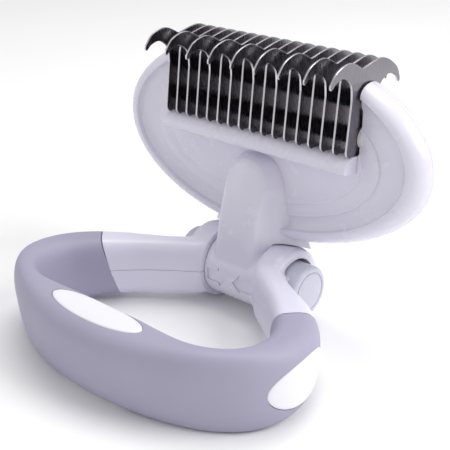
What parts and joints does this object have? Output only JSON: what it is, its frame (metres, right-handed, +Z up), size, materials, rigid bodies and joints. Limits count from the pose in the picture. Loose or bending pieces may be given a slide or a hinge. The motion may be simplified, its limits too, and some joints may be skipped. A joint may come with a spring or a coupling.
{
  "type": "undercoat rake",
  "caption": "Pet undercoat rake: a pack of hooked steel plates in an oval head that swivels between two push buttons on a closed loop handle with a soft grip.",
  "frame": {"origin": "middle of the flat underside of the grip bar, on the surface the rake rests on", "axes": "+Z up, normal to the plane of the handle loop; +X along the swivel axis to the right; +Y from the grip bar towards the swivel"},
  "size_m": [0.1188, 0.1015, 0.0864],
  "materials": {
    "head_white": "smooth glossy white injection moulding with a faint cool tint",
    "handle_white": "satin gloss white injection moulding",
    "inlay_white": "smooth white oval set in the soft grip",
    "grip_rubber": "matte grey-lavender soft overmould",
    "button_grey": "satin grey-lavender moulding",
    "lock_nylon": "natural nylon",
    "blade_steel": "stamped stainless plate, polished faces and bright sheared edges",
    "rod_steel": "drawn steel rod and turned spacers",
    "spring_steel": "spring wire",
    "screw_steel": "plated thread-forming screws"
  },
  "bodies": {
    "handle": {"handle_upper_shell": "handle_white", "handle_lower_shell": "handle_white", "grip_upper": "grip_rubber", "grip_lower": "grip_rubber", "grip_inlay_top": "inlay_white", "grip_inlay_bottom": "inlay_white", "side_pad_left": "inlay_white", "side_pad_right": "inlay_white", "handle_screws": "screw_steel"},
    "head": {"blade_01": "blade_steel", "blade_02": "blade_steel", "blade_03": "blade_steel", "blade_04": "blade_steel", "blade_05": "blade_steel", "blade_06": "blade_steel", "blade_07": "blade_steel", "blade_08": "blade_steel", "blade_09": "blade_steel", "blade_10": "blade_steel", "blade_11": "blade_steel", "blade_12": "blade_steel", "blade_13": "blade_steel", "blade_14": "blade_steel", "blade_15": "blade_steel", "blade_16": "blade_steel", "blade_17": "blade_steel", "blade_comb": "head_white", "blade_rod_lower": "rod_steel", "blade_rod_upper": "rod_steel", "head_front_shell": "head_white", "head_rear_shell": "head_white", "head_screws": "screw_steel", "head_yoke": "head_white", "lock_ring_left": "lock_nylon", "lock_ring_right": "lock_nylon", "rod_clips": "rod_steel", "rod_spacers_lower": "rod_steel", "rod_spacers_upper": "rod_steel", "yoke_screws": "screw_steel"},
    "button_left": {"button_left": "button_grey", "lock_crown_left": "lock_nylon", "button_spring_left": "spring_steel"},
    "button_right": {"button_right": "button_grey", "lock_crown_right": "lock_nylon", "button_spring_right": "spring_steel"}
  },
  "joints": [
    {"name": "head_swivel", "type": "hinge", "parent": "handle", "child": "head", "pos_m": [0, 0.064, 0.0125], "axis": [-1, 0, 0], "range_deg": [0, 164]},
    {"name": "left_button_press", "type": "slide", "parent": "handle", "child": "button_left", "axis": [1, 0, 0], "range_m": [0, 0.0035], "stiffness_N_per_m": 1200, "springref_m": -0.002, "deforming": ["button_spring_left"]},
    {"name": "right_button_press", "type": "slide", "parent": "handle", "child": "button_right", "axis": [-1, 0, 0], "range_m": [0, 0.0035], "stiffness_N_per_m": 1200, "springref_m": -0.002, "deforming": ["button_spring_right"]}
  ]
}
